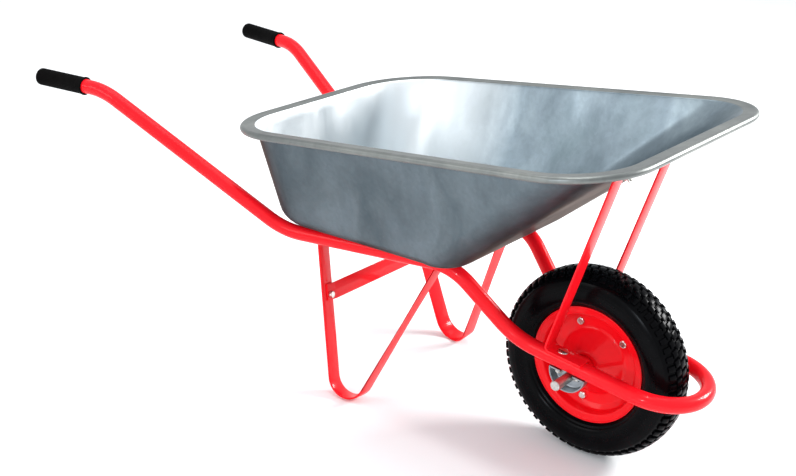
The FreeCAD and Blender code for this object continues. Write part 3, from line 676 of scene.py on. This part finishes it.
def tray_outline(xs, halves, radii, height_of, inset):
    """Evenly matched points round a rounded trapezium, each with its outward direction."""
    xs = (xs[0] + inset, xs[1] - inset)
    halves = (halves[0] - inset, halves[1] - inset)
    radii = (radii[0] - inset, radii[1] - inset)
    order = [(0, -1), (1, -1), (1, 1), (0, 1)]
    corners = [Vector((xs[i], halves[i] * s, 0)) for i, s in order]
    arcs = []
    for k, (i, _) in enumerate(order):
        line = rounded([corners[k - 1], corners[k], corners[(k + 1) % 4]], [radii[i]],
                       step=math.radians(1))[1:-1]
        arcs.append((line[0], line[-1], corners[k], radii[i]))
    points = []
    for k, (start, end, corner, radius) in enumerate(arcs):
        chord_half = (end - start).length / 2
        middle = (start + end) / 2
        inward = (middle - corner).normalized()
        centre = middle + inward * math.sqrt(max(radius ** 2 - chord_half ** 2, 0))
        a, b = start - centre, end - centre
        turn = a.angle(b)
        axis = a.cross(b).normalized()
        for s in range(CORNER_STEPS + 1):
            p = centre + Matrix.Rotation(turn * s / CORNER_STEPS, 3, axis) @ a
            points.append((p, (p - centre).normalized()))
        run = arcs[(k + 1) % 4][0] - end
        out = Vector((run.y, -run.x, 0)).normalized()
        for s in range(1, STRAIGHT_STEPS):
            points.append((end + run * (s / STRAIGHT_STEPS), out))
    placed = []
    for p, out in points:
        slope = height_of(p.x + 1) - height_of(p.x)
        placed.append((at(p.x, p.y, height_of(p.x)), Vector((out.x, out.y, slope * out.x)).normalized()))
    return placed


def tray_rows():
    """The sheet's middle surface: floor, rounded corner, wall, flange and rolled edge."""
    half = SHEET / 2
    floor = tray_outline(FLOOR_X, FLOOR_HALF, FLOOR_RADIUS, floor_z, half)
    bead = tray_outline(RIM_X, RIM_HALF, RIM_RADIUS, rim_z, 0.0)
    flange = tray_outline(RIM_X, RIM_HALF, RIM_RADIUS, rim_z, FLANGE + half)
    roll_r = BEAD_R - half
    flange_lift = BEAD_R - SHEET * 1.5
    start_roll = math.radians(125)
    fillet_steps, wall_steps, bend_steps, roll_steps = 10, 9, 4, 16
    rings = []
    for (low, low_out), (rolled, out), (top, _) in zip(floor, bead, flange):
        low = low + RAIL_UP * (half * MM)
        top = top + RIM_UP * (flange_lift * MM)
        roll_start = rolled + (out * math.cos(start_roll) + RIM_UP * math.sin(start_roll)) * (roll_r * MM)
        fillet = arc_between(low - low_out, low, top, (FLOOR_FILLET - half) * MM, fillet_steps)
        bend = arc_between(low, top, roll_start, 6 * MM, bend_steps)
        ring = list(fillet)
        ring += [fillet[-1].lerp(bend[0], s / wall_steps) for s in range(1, wall_steps)]
        ring += bend
        for s in range(roll_steps + 1):
            a = start_roll - math.radians(290) * s / roll_steps
            ring.append(rolled + (out * math.cos(a) + RIM_UP * math.sin(a)) * (roll_r * MM))
        rings.append(ring)
    centre = at(sum(FLOOR_X) / 2, 0, floor_z(sum(FLOOR_X) / 2)) + RAIL_UP * (half * MM)
    shares = (0.12, 0.3, 0.5, 0.7, 0.86)
    return loft([[centre.lerp(ring[0], s) for s in shares] + ring for ring in rings],
                closed=False, cyclic=True, caps=False)


def add_floor_middle(points, faces, per_ring):
    rows = len(points) // per_ring
    faces.append(tuple(i * per_ring for i in range(rows)))
    return points, faces


tray_points, tray_faces = tray_rows()
rows_in_tray = 4 * (CORNER_STEPS + STRAIGHT_STEPS)
tray_shape = add_floor_middle(tray_points, tray_faces, len(tray_points) // rows_in_tray)
# The inside faces take the lighter zinc copy and the solidified outer faces the darker one: painted light inside,
# painted shade outside.
tray_piece = piece("rolled_edge_tray", tray_shape, "barrow", "tray_zinc", ["tray"], 60,
                   [TRAY_INSIDE_LIT, TRAY_OUTSIDE_SHADED, TRAY_RIM, TRAY_RIM])
points_per_row = len(tray_points) // rows_in_tray
for face in tray_piece.data.polygons:
    if min(v % points_per_row for v in face.vertices) >= FIRST_RIM_POINT:
        face.material_index = 2
sheet = tray_piece.modifiers.new("sheet", "SOLIDIFY")
sheet.thickness = SHEET * MM
sheet.offset = 0.0
sheet.material_offset = 1


# ---------------------------------------------------------------- legs

def leg_shape(side):
    """One bar: flat tab under the tray, down, round the foot, up, and a second tab."""
    rear, apex, front = (sided(p, side) for p in (LEG_REAR_TOP, LEG_APEX, LEG_FRONT_TOP))
    across = (rear - apex).cross(front - apex).normalized()
    if across.y < 0:
        across = across * -1
    line = rounded([rear, apex, front], [FOOT_RADIUS * MM], step=math.radians(8))
    leg = [(p, across, d.cross(across).normalized()) for p, d in zip(line, tangents(line))]
    stations = tab_stations(rear, apex, X, across) + leg[1:-1]
    stations += list(reversed(tab_stations(front, apex, X * -1, across)))
    return bar(stations, LEG_W)


def tab_stations(top, apex, towards, across):
    """The turned-over end: from its tip under the tray's floor, round the bend and into the leg."""
    under = Vector((top.x, top.y, floor_z((top.x - AXLE.x) / MM) * MM))
    along = Vector((towards.x, 0, RAIL_RUN.z / RAIL_RUN.x * towards.x)).normalized()
    mid = under - RAIL_UP * (BAR_T / 2 * MM)
    tip = mid + along * (LEG_TAB * MM)
    down = (apex - top).normalized()
    bend = arc_between(tip, mid, mid + down, LEG_TAB_BEND * MM, 6)
    stations = [(tip, Y, (along * -1).cross(Y).normalized())]
    for k, p in enumerate(bend):
        share = k / (len(bend) - 1)
        wide = Y.lerp(across, share).normalized()
        d = (along * -1).lerp(down, share).normalized()
        stations.append((p, wide, d.cross(wide).normalized()))
    return stations


for side_name, side in SIDES.items():
    piece("bent_bar_leg_" + side_name, leg_shape(side), "barrow", "frame_paint", ["leg_" + side_name])


# ---------------------------------------------------------------- front stays

WALL_LOW = at(FLOOR_X[1], 0, floor_z(FLOOR_X[1]))
WALL_HIGH = at(RIM_X[1] - FLANGE, 0, rim_z(RIM_X[1] - FLANGE)) + RIM_UP * ((BEAD_R - SHEET) * MM)
WALL_ALONG = (WALL_HIGH - WALL_LOW).normalized()
WALL_OUT = Vector((WALL_ALONG.z, 0, -WALL_ALONG.x))


def stay_corners(side):
    reach = at(STAY_TOP_X, 0, 0).x - WALL_LOW.x
    bend_top = WALL_LOW + WALL_ALONG * (reach / WALL_ALONG.x) + WALL_OUT * ((BAR_T / 2 + TOUCH) * MM)
    end_top = bend_top + WALL_ALONG * (STAY_TOP_TAB * MM)
    bend_foot = on_lower_run(STAY_FOOT_X, 1, TUBE_R + BAR_T / 2)
    end_foot = bend_foot + LOWER_RUN * (STAY_FOOT_TAB * MM)
    return [Vector((p.x, STAY_Y * side * MM, p.z)) for p in (end_top, bend_top, bend_foot, end_foot)]


def stay_bolt(side):
    """Centre of the stay's top bolt, on the outside of the tray's front wall."""
    corner = stay_corners(side)[1]
    return corner + WALL_ALONG * (STAY_TOP_TAB * TAB_BOLT_SHARE * MM) - WALL_OUT * ((BAR_T / 2 + TOUCH) * MM)


for side_name, side in SIDES.items():
    stations = flat_path(stay_corners(side), [BAR_BEND, BAR_BEND], Y)
    piece("bent_stay_" + side_name, bar(stations, STAY_W), "barrow", "frame_paint", ["stay_" + side_name])


# ---------------------------------------------------------------- brace between the rear uprights

def upright_frame(side):
    """The brace bolt's place on a rear upright's front face, the way that faces, up and inward."""
    rear, apex, front = (sided(p, side) for p in (LEG_REAR_TOP, LEG_APEX, LEG_FRONT_TOP))
    up = (rear - apex).normalized()
    across = (rear - apex).cross(front - apex).normalized()
    inward = across if across.y * side < 0 else across * -1
    face_out = up.cross(across).normalized()
    if face_out.x < 0:
        face_out = face_out * -1
    spot = apex + up * ((BRACE_BOLT_Z * MM - apex.z) / up.z)
    return spot + face_out * (BAR_T / 2 * MM) + inward * (BRACE_BOLT_IN * MM), face_out, up, inward


def brace_shape():
    ends = {}
    for side in SIDES.values():
        spot, face_out, up, inward = upright_frame(side)
        middle = spot + up * ((BRACE_H / 2 - BRACE_BOLT_LOW) * MM) + face_out * (BAR_T / 2 * MM)
        tip = middle - inward * (BRACE_END_OUT * MM)
        ends[side] = (tip, tip + inward * (BRACE_END_LENGTH * MM), up)
    (tip_r, edge_r, up_r), (tip_l, edge_l, up_l) = ends[-1], ends[1]
    line = rounded([tip_r, edge_r, edge_l, tip_l], [BAR_BEND * MM, BAR_BEND * MM])
    stations = []
    for p, d in zip(line, tangents(line)):
        share = (p.y - tip_r.y) / (tip_l.y - tip_r.y)
        wide = up_r.lerp(up_l, share)
        wide = (wide - d * wide.dot(d)).normalized()
        stations.append((p, wide, d.cross(wide).normalized()))
    return bar(stations, BRACE_H)


piece("bolted_leg_brace", brace_shape(), "barrow", "frame_paint", ["leg_brace"])


# ---------------------------------------------------------------- axle brackets

def bracket_spots(side):
    """The rear and front fixing points of a bracket, on the lower run's centre line."""
    return [on_lower_run(x, side, 0) for x in (-BRACKET_BOLT_X, BRACKET_BOLT_X)]


def bracket_shape(side):
    """A half-round pressed dish with a rounded corner, open outwards, and its two flat ears."""
    top = on_lower_run(0, side, -TUBE_R)
    centre = Vector((top.x, BRACKET_WEB_Y * side * MM, top.z))
    outward = Y * side
    bend, inner_bend = BRACKET_BEND, BRACKET_BEND - BRACKET_T
    outline = [(0.0, 0.0)]
    for k in range(7):
        a = math.radians(90 * k / 6)
        outline.append((BRACKET_R - bend + bend * math.sin(a), bend - bend * math.cos(a)))
    outline += [(BRACKET_R, BRACKET_DEPTH - 0.8), (BRACKET_R - 0.8, BRACKET_DEPTH),
                (BRACKET_R - BRACKET_T + 0.8, BRACKET_DEPTH), (BRACKET_R - BRACKET_T, BRACKET_DEPTH - 0.8)]
    for k in range(7):
        a = math.radians(90 - 90 * k / 6)
        outline.append((BRACKET_R - BRACKET_T - inner_bend + inner_bend * math.sin(a),
                        BRACKET_T + inner_bend - inner_bend * math.cos(a)))
    outline.append((0.0, BRACKET_T))
    rings = []
    for k in range(49):
        a = math.pi * k / 48
        ray = LOWER_RUN * math.cos(a) - LOWER_UP * math.sin(a)
        rings.append([centre + ray * (r * MM) + outward * (d * MM) for r, d in outline])
    dish = loft(rings)
    ears = []
    middle = centre + outward * (BRACKET_DEPTH / 2 * MM) - LOWER_UP * (BRACKET_T / 2 * MM)
    for way in (-1, 1):
        stations = [(middle + LOWER_RUN * (way * u * MM), Y, LOWER_UP)
                    for u in (BRACKET_NOTCH / 2, 20.0, 28.0, BRACKET_R - 1.0)]
        ears.append(bar(stations, BRACKET_DEPTH, BRACKET_T, 0.5))
    return join(dish, *ears)


for side_name, side in SIDES.items():
    piece("half_round_axle_bracket_" + side_name, bracket_shape(side), "barrow", "bracket_zinc",
          ["axle_bracket_" + side_name])


# ---------------------------------------------------------------- rim and tyre

def strip_outline(line, thickness):
    """A closed outline of one thickness about a line of (radius, y) pairs, with rounded ends."""
    points = [Vector((r, y, 0)) for r, y in line]
    left, right = [], []
    for p, d in zip(points, tangents(points)):
        normal = Vector((-d.y, d.x, 0)) * (thickness / 2)
        left.append(p + normal)
        right.append(p - normal)
    start = points[0] - tangents(points)[0] * (thickness / 2)
    return [(p.x, p.y) for p in [start] + left + list(reversed(right))]


def rim_shape(side):
    """One pressed half: rolled flange, bead seat, well, bolting flat and the cone to the hub."""
    line = rounded_flat(RIM_LINE, RIM_BENDS)
    return lathe([(r, y * side) for r, y in strip_outline(line, RIM_SHEET)], 128)


def curve_through(pairs, steps):
    """A smooth line through (radius, y) pairs."""
    points = [Vector((a, b, 0)) for a, b in pairs]
    line = []
    for i in range(len(points) - 1):
        before, here, after = points[max(i - 1, 0)], points[i], points[i + 1]
        beyond = points[min(i + 2, len(points) - 1)]
        for s in range(steps):
            t = s / steps
            line.append(0.5 * (2 * here + (after - before) * t
                               + (2 * before - 5 * here + 4 * after - beyond) * t ** 2
                               + (3 * here - before - 3 * after + beyond) * t ** 3))
    line.append(points[-1])
    return line


CROWN_LINE = curve_through([(188.0, 0.0)] + list(reversed(TYRE_OUTSIDE[:-1])), 8)


def on_tyre(across, along, depth):
    """A point of the tyre: distances from the crown's middle across and round it, and depth under it."""
    left = abs(across)
    for p, q in zip(CROWN_LINE, CROWN_LINE[1:]):
        length = (q - p).length
        if left <= length:
            break
        left -= length
    d = (q - p) / length
    normal_in = Vector((-d.y, d.x, 0))
    if normal_in.x > 0:
        normal_in = normal_in * -1
    place = p + d * left + normal_in * depth
    return on_wheel(place.x, math.copysign(place.y, across), along / TYRE_OUTSIDE[-1][0])


def tread_block(corners, steps_across, steps_along, depth, proud=0.0):
    """A raised block between four (across, along) corners, with softened top edges.

    depth is how far it reaches into the tyre, proud how far its top stands over the tyre's outline."""
    a, b, c, d = (Vector((*corner, 0)) for corner in corners)

    def patch(u, v):
        return a.lerp(b, u).lerp(d.lerp(c, u), v)

    edge = [(i / steps_across, 0) for i in range(steps_across)]
    edge += [(1, j / steps_along) for j in range(steps_along)]
    edge += [(1 - i / steps_across, 1) for i in range(steps_across)]
    edge += [(0, 1 - j / steps_along) for j in range(steps_along)]
    centre = patch(0.5, 0.5)
    top = 0.86
    rings = []
    for grow, at_depth in ((1.10, depth), (1.0, 0.7), (0.95, 0.15), (top, 0.0)):
        ring = []
        for u, v in edge:
            p = centre.lerp(patch(u, v), grow)
            ring.append(on_tyre(p.x, p.y, at_depth - proud))
        rings.append(ring)
    points, faces = loft(rings, caps=False)
    count = len(edge)
    start = len(rings) * count - count
    on_edge = {(round(u * steps_across), round(v * steps_along)): k for k, (u, v) in enumerate(edge)}
    grid = {}
    for j in range(steps_along + 1):
        for i in range(steps_across + 1):
            if (i, j) in on_edge:
                grid[i, j] = start + on_edge[i, j]
            else:
                p = centre.lerp(patch(i / steps_across, j / steps_along), top)
                grid[i, j] = len(points)
                points.append(on_tyre(p.x, p.y, -proud))
    for j in range(steps_along):
        for i in range(steps_across):
            faces.append((grid[i, j], grid[i + 1, j], grid[i + 1, j + 1], grid[i, j + 1]))
    faces.append(tuple(reversed(range(count))))
    return points, faces


def tread():
    """Rows of blocks: a zigzag middle rib, offset side blocks and shoulder lugs down the sidewalls."""
    pitch = 2 * math.pi * TYRE_OUTSIDE[-1][0] / PITCHES
    lean = TREAD_LEAN
    blocks = []
    for n in range(PITCHES):
        t = n * pitch
        blocks.append(tread_block([(-7.5, t), (7.5, t + lean), (7.5, t + lean + 13.0), (-7.5, t + 13.0)],
                                  3, 2, TREAD_DEPTH + 0.6))
        for side in (-1, 1):
            first = t + pitch / 2 + (lean if side > 0 else 0.0)
            blocks.append(tread_block([(side * 10.0, first), (side * 21.5, first - lean),
                                       (side * 21.5, first - lean + 12.5), (side * 10.0, first + 12.5)],
                                      3, 2, TREAD_DEPTH + 0.6))
            blocks.append(tread_block([(side * 24.5, t + 1.0), (side * 37.5, t + 1.0),
                                       (side * 37.5, t + 11.5), (side * 24.5, t + 12.5)],
                                      4, 2, TREAD_DEPTH + 1.0, LUG_PROUD))
    return join(*blocks)


def carcass():
    """The tyre under its tread, with a fitting line above the rim and two rings on the sidewall."""
    outer = []
    for p, d in zip(CROWN_LINE, tangents(CROWN_LINE)):
        inward = Vector((-d.y, d.x, 0))
        if inward.x > 0:
            inward = inward * -1
        sunk = TREAD_DEPTH * min(1.0, max(0.0, (p.x - 169.0) / 9.0))
        raised = 0.8 * math.exp(-((p.x - 123.5) / 1.6) ** 2) + 0.6 * math.exp(-((p.x - 150.5) / 1.2) ** 2)
        moved = p + inward * (sunk - raised)
        outer.append((moved.x, moved.y))
    inner = [(p.x, p.y) for p in curve_through(TYRE_INSIDE, 3)]
    half = outer + inner
    mirror = [(r, -y) for r, y in reversed(half)]
    return lathe(half + mirror[1:-1], 192)


for side_name, side in SIDES.items():
    piece("pressed_rim_" + side_name, rim_shape(side), "wheel", "wheel_paint", ["rim_half_" + side_name])
piece("block_tread_tyre", join(carcass(), tread()), "wheel", "tyre_rubber", ["tyre"], 40)


# ---------------------------------------------------------------- bolts, nuts and washers

def tray_bolt_spots():
    spots = []
    for side in SIDES.values():
        for top, towards in ((LEG_REAR_TOP, 1), (LEG_FRONT_TOP, -1)):
            along = Vector((towards, 0, towards * RAIL_RUN.z / RAIL_RUN.x)).normalized()
            under = at(top[0], top[1] * side, floor_z(top[0]))
            spots.append(under + along * (LEG_TAB * TAB_BOLT_SHARE * MM))
    return spots


def wheel_bolt_spots(y):
    angles = [math.radians(WHEEL_BOLT_PHASE + 360 * k / WHEEL_BOLTS) for k in range(WHEEL_BOLTS)]
    return [on_wheel(BOLT_CIRCLE_R, y, a) for a in angles]


def fasteners(name, shapes, body, nodes):
    piece(name, join(*shapes), body, "fastener_zinc", nodes, 30)


sides = list(SIDES.values())
fasteners("tray_floor_bolts", [round_bolt(p + RAIL_UP * ((SHEET + WASHER_T) * MM), RAIL_UP, TRAY_BOLT)
                               for p in tray_bolt_spots()], "barrow", ["tray_bolts"])
fasteners("tray_floor_washers", [washer(p + RAIL_UP * (SHEET * MM), RAIL_UP) for p in tray_bolt_spots()],
          "barrow", ["tray_washers"])
fasteners("tray_floor_nuts", [nut(p - RAIL_UP * (BAR_T * MM), RAIL_UP * -1) for p in tray_bolt_spots()],
          "barrow", ["tray_nuts"])

WALL_IN = WALL_OUT * -1
over_washer = WALL_OUT * ((SHEET + WASHER_T) * MM)
fasteners("stay_bolts_round", [round_bolt(stay_bolt(s) - over_washer, WALL_IN, STAY_BOLT) for s in sides],
          "barrow", ["stay_bolts"])
fasteners("stay_washers_flat", [washer(stay_bolt(s) - WALL_OUT * (SHEET * MM), WALL_IN) for s in sides],
          "barrow", ["stay_washers"])
fasteners("stay_nuts_hex", [nut(stay_bolt(s) + WALL_OUT * ((BAR_T + 2 * TOUCH) * MM), WALL_OUT, 0.3)
                            for s in sides], "barrow", ["stay_nuts"])

brace_faces = [upright_frame(s)[:2] for s in sides]
fasteners("brace_bolts_hex", [hex_bolt(p + out * (BAR_T * MM), out, BRACE_BOLT, 0.4)
                              for p, out in brace_faces], "barrow", ["brace_bolts"])
fasteners("brace_nuts_hex", [nut(p - out * (BAR_T * MM), out * -1) for p, out in brace_faces],
          "barrow", ["brace_nuts"])

LOWER_DOWN = LOWER_UP * -1
rear_spots = [bracket_spots(s)[0] for s in sides]
front_spots = [bracket_spots(s)[1] for s in sides]
above_stay = LOWER_UP * ((TUBE_R + BAR_T) * MM)
under_ear = LOWER_UP * ((TUBE_R + BRACKET_T) * MM)
fasteners("bracket_bolts_round", [round_bolt(p + above_stay, LOWER_UP, BRACKET_BOLT) for p in rear_spots],
          "barrow", ["bracket_bolts"])
fasteners("bracket_nuts_hex", [nut(p - under_ear, LOWER_DOWN, 0.2) for p in rear_spots],
          "barrow", ["bracket_nuts"])
fasteners("bracket_screws_hex", [hex_bolt(p - under_ear, LOWER_DOWN, BRACKET_SCREW) for p in front_spots],
          "barrow", ["bracket_screws"])

right_seats, left_seats = wheel_bolt_spots(-RIM_SHEET), wheel_bolt_spots(RIM_SHEET)
fasteners("wheel_bolts_hex", [hex_bolt(p, Y * -1, WHEEL_BOLT, 0.5 * k) for k, p in enumerate(right_seats)],
          "wheel", ["wheel_bolts"])
fasteners("wheel_nuts_hex", [nut(p, Y, 0.5 * k) for k, p in enumerate(left_seats)], "wheel", ["wheel_nuts"])


# ---------------------------------------------------------------- floor, light and camera

def make_floor():
    size = 14.0
    mesh = bpy.data.meshes.new("studio_floor")
    corners = [(-size, -size, 0), (size, -size, 0), (size, size, 0), (-size, size, 0)]
    mesh.from_pydata(corners, [], [(0, 1, 2, 3)])
    m = Nodes("pale_floor")
    m.fix(Specular_IOR_Level=0.1)
    m.finish(m.ramp(m.noise(2.0), [(0.3, (0.90, 0.90, 0.90)), (0.7, (0.93, 0.93, 0.93))]),
             m.range(m.noise(6.0), 0.7, 0.8))
    mesh.materials.append(m.material)
    floor = bpy.data.objects.new("studio_floor", mesh)
    bpy.context.scene.collection.objects.link(floor)


def area_light(name, place, target, size, power, colour=(1, 1, 1)):
    data = bpy.data.lights.new(name, "AREA")
    data.shape = "RECTANGLE"
    data.size, data.size_y = size
    data.energy = power
    data.color = colour
    light = bpy.data.objects.new(name, data)
    light.location = place
    light.rotation_euler = (Vector(target) - Vector(place)).to_track_quat("-Z", "Y").to_euler()
    bpy.context.scene.collection.objects.link(light)


def make_world(strength):
    world = bpy.data.worlds.new("studio")
    world.use_nodes = True
    background = world.node_tree.nodes["Background"]
    background.inputs["Color"].default_value = (0.94, 0.97, 1.0, 1.0)
    background.inputs["Strength"].default_value = strength
    bpy.context.scene.world = world


def make_camera():
    """A camera in front and to the right, looking back over the wheel and down into the tray."""
    azimuth, elevation, roll = (math.radians(a) for a in (CAMERA_AZIMUTH, CAMERA_ELEVATION, CAMERA_ROLL))
    forward = Vector((-math.sin(azimuth) * math.cos(elevation), math.cos(azimuth) * math.cos(elevation),
                      -math.sin(elevation)))
    level = Vector((math.cos(azimuth), math.sin(azimuth), 0))
    up = level.cross(forward)
    right = level * math.cos(roll) + up * math.sin(roll)
    top = up * math.cos(roll) - level * math.sin(roll)
    data = bpy.data.cameras.new("camera")
    data.lens = CAMERA_LENS
    data.sensor_width = CAMERA_SENSOR
    camera = bpy.data.objects.new("camera", data)
    turned_to = Matrix((right, top, forward * -1)).transposed().to_4x4()
    camera.matrix_world = Matrix.Translation(CAMERA_PLACE) @ turned_to
    bpy.context.scene.collection.objects.link(camera)
    bpy.context.scene.camera = camera


make_floor()
make_world(1.0)
area_light("overhead", (-0.4, 0.4, 3.2), (0, 0, 0.4), (3.0, 2.0), 30)
area_light("window", (0.75, -0.85, 3.2), (0.3, -0.1, 0.3), (0.25, 0.25), 22)
area_light("left_front", (1.7, 2.0, 1.6), (-0.2, 0, 0.5), (1.0, 0.8), 95)
area_light("right_rear", (-1.6, -3.2, 1.8), (0, 0, 0.4), (2.0, 1.2), 25)
area_light("right_low", (0.8, -2.5, 0.9), (0.5, 0, 0.2), (0.12, 0.35), 14, (0.82, 0.90, 1.0))
make_camera()
bpy.context.scene.view_settings.view_transform = "Standard"
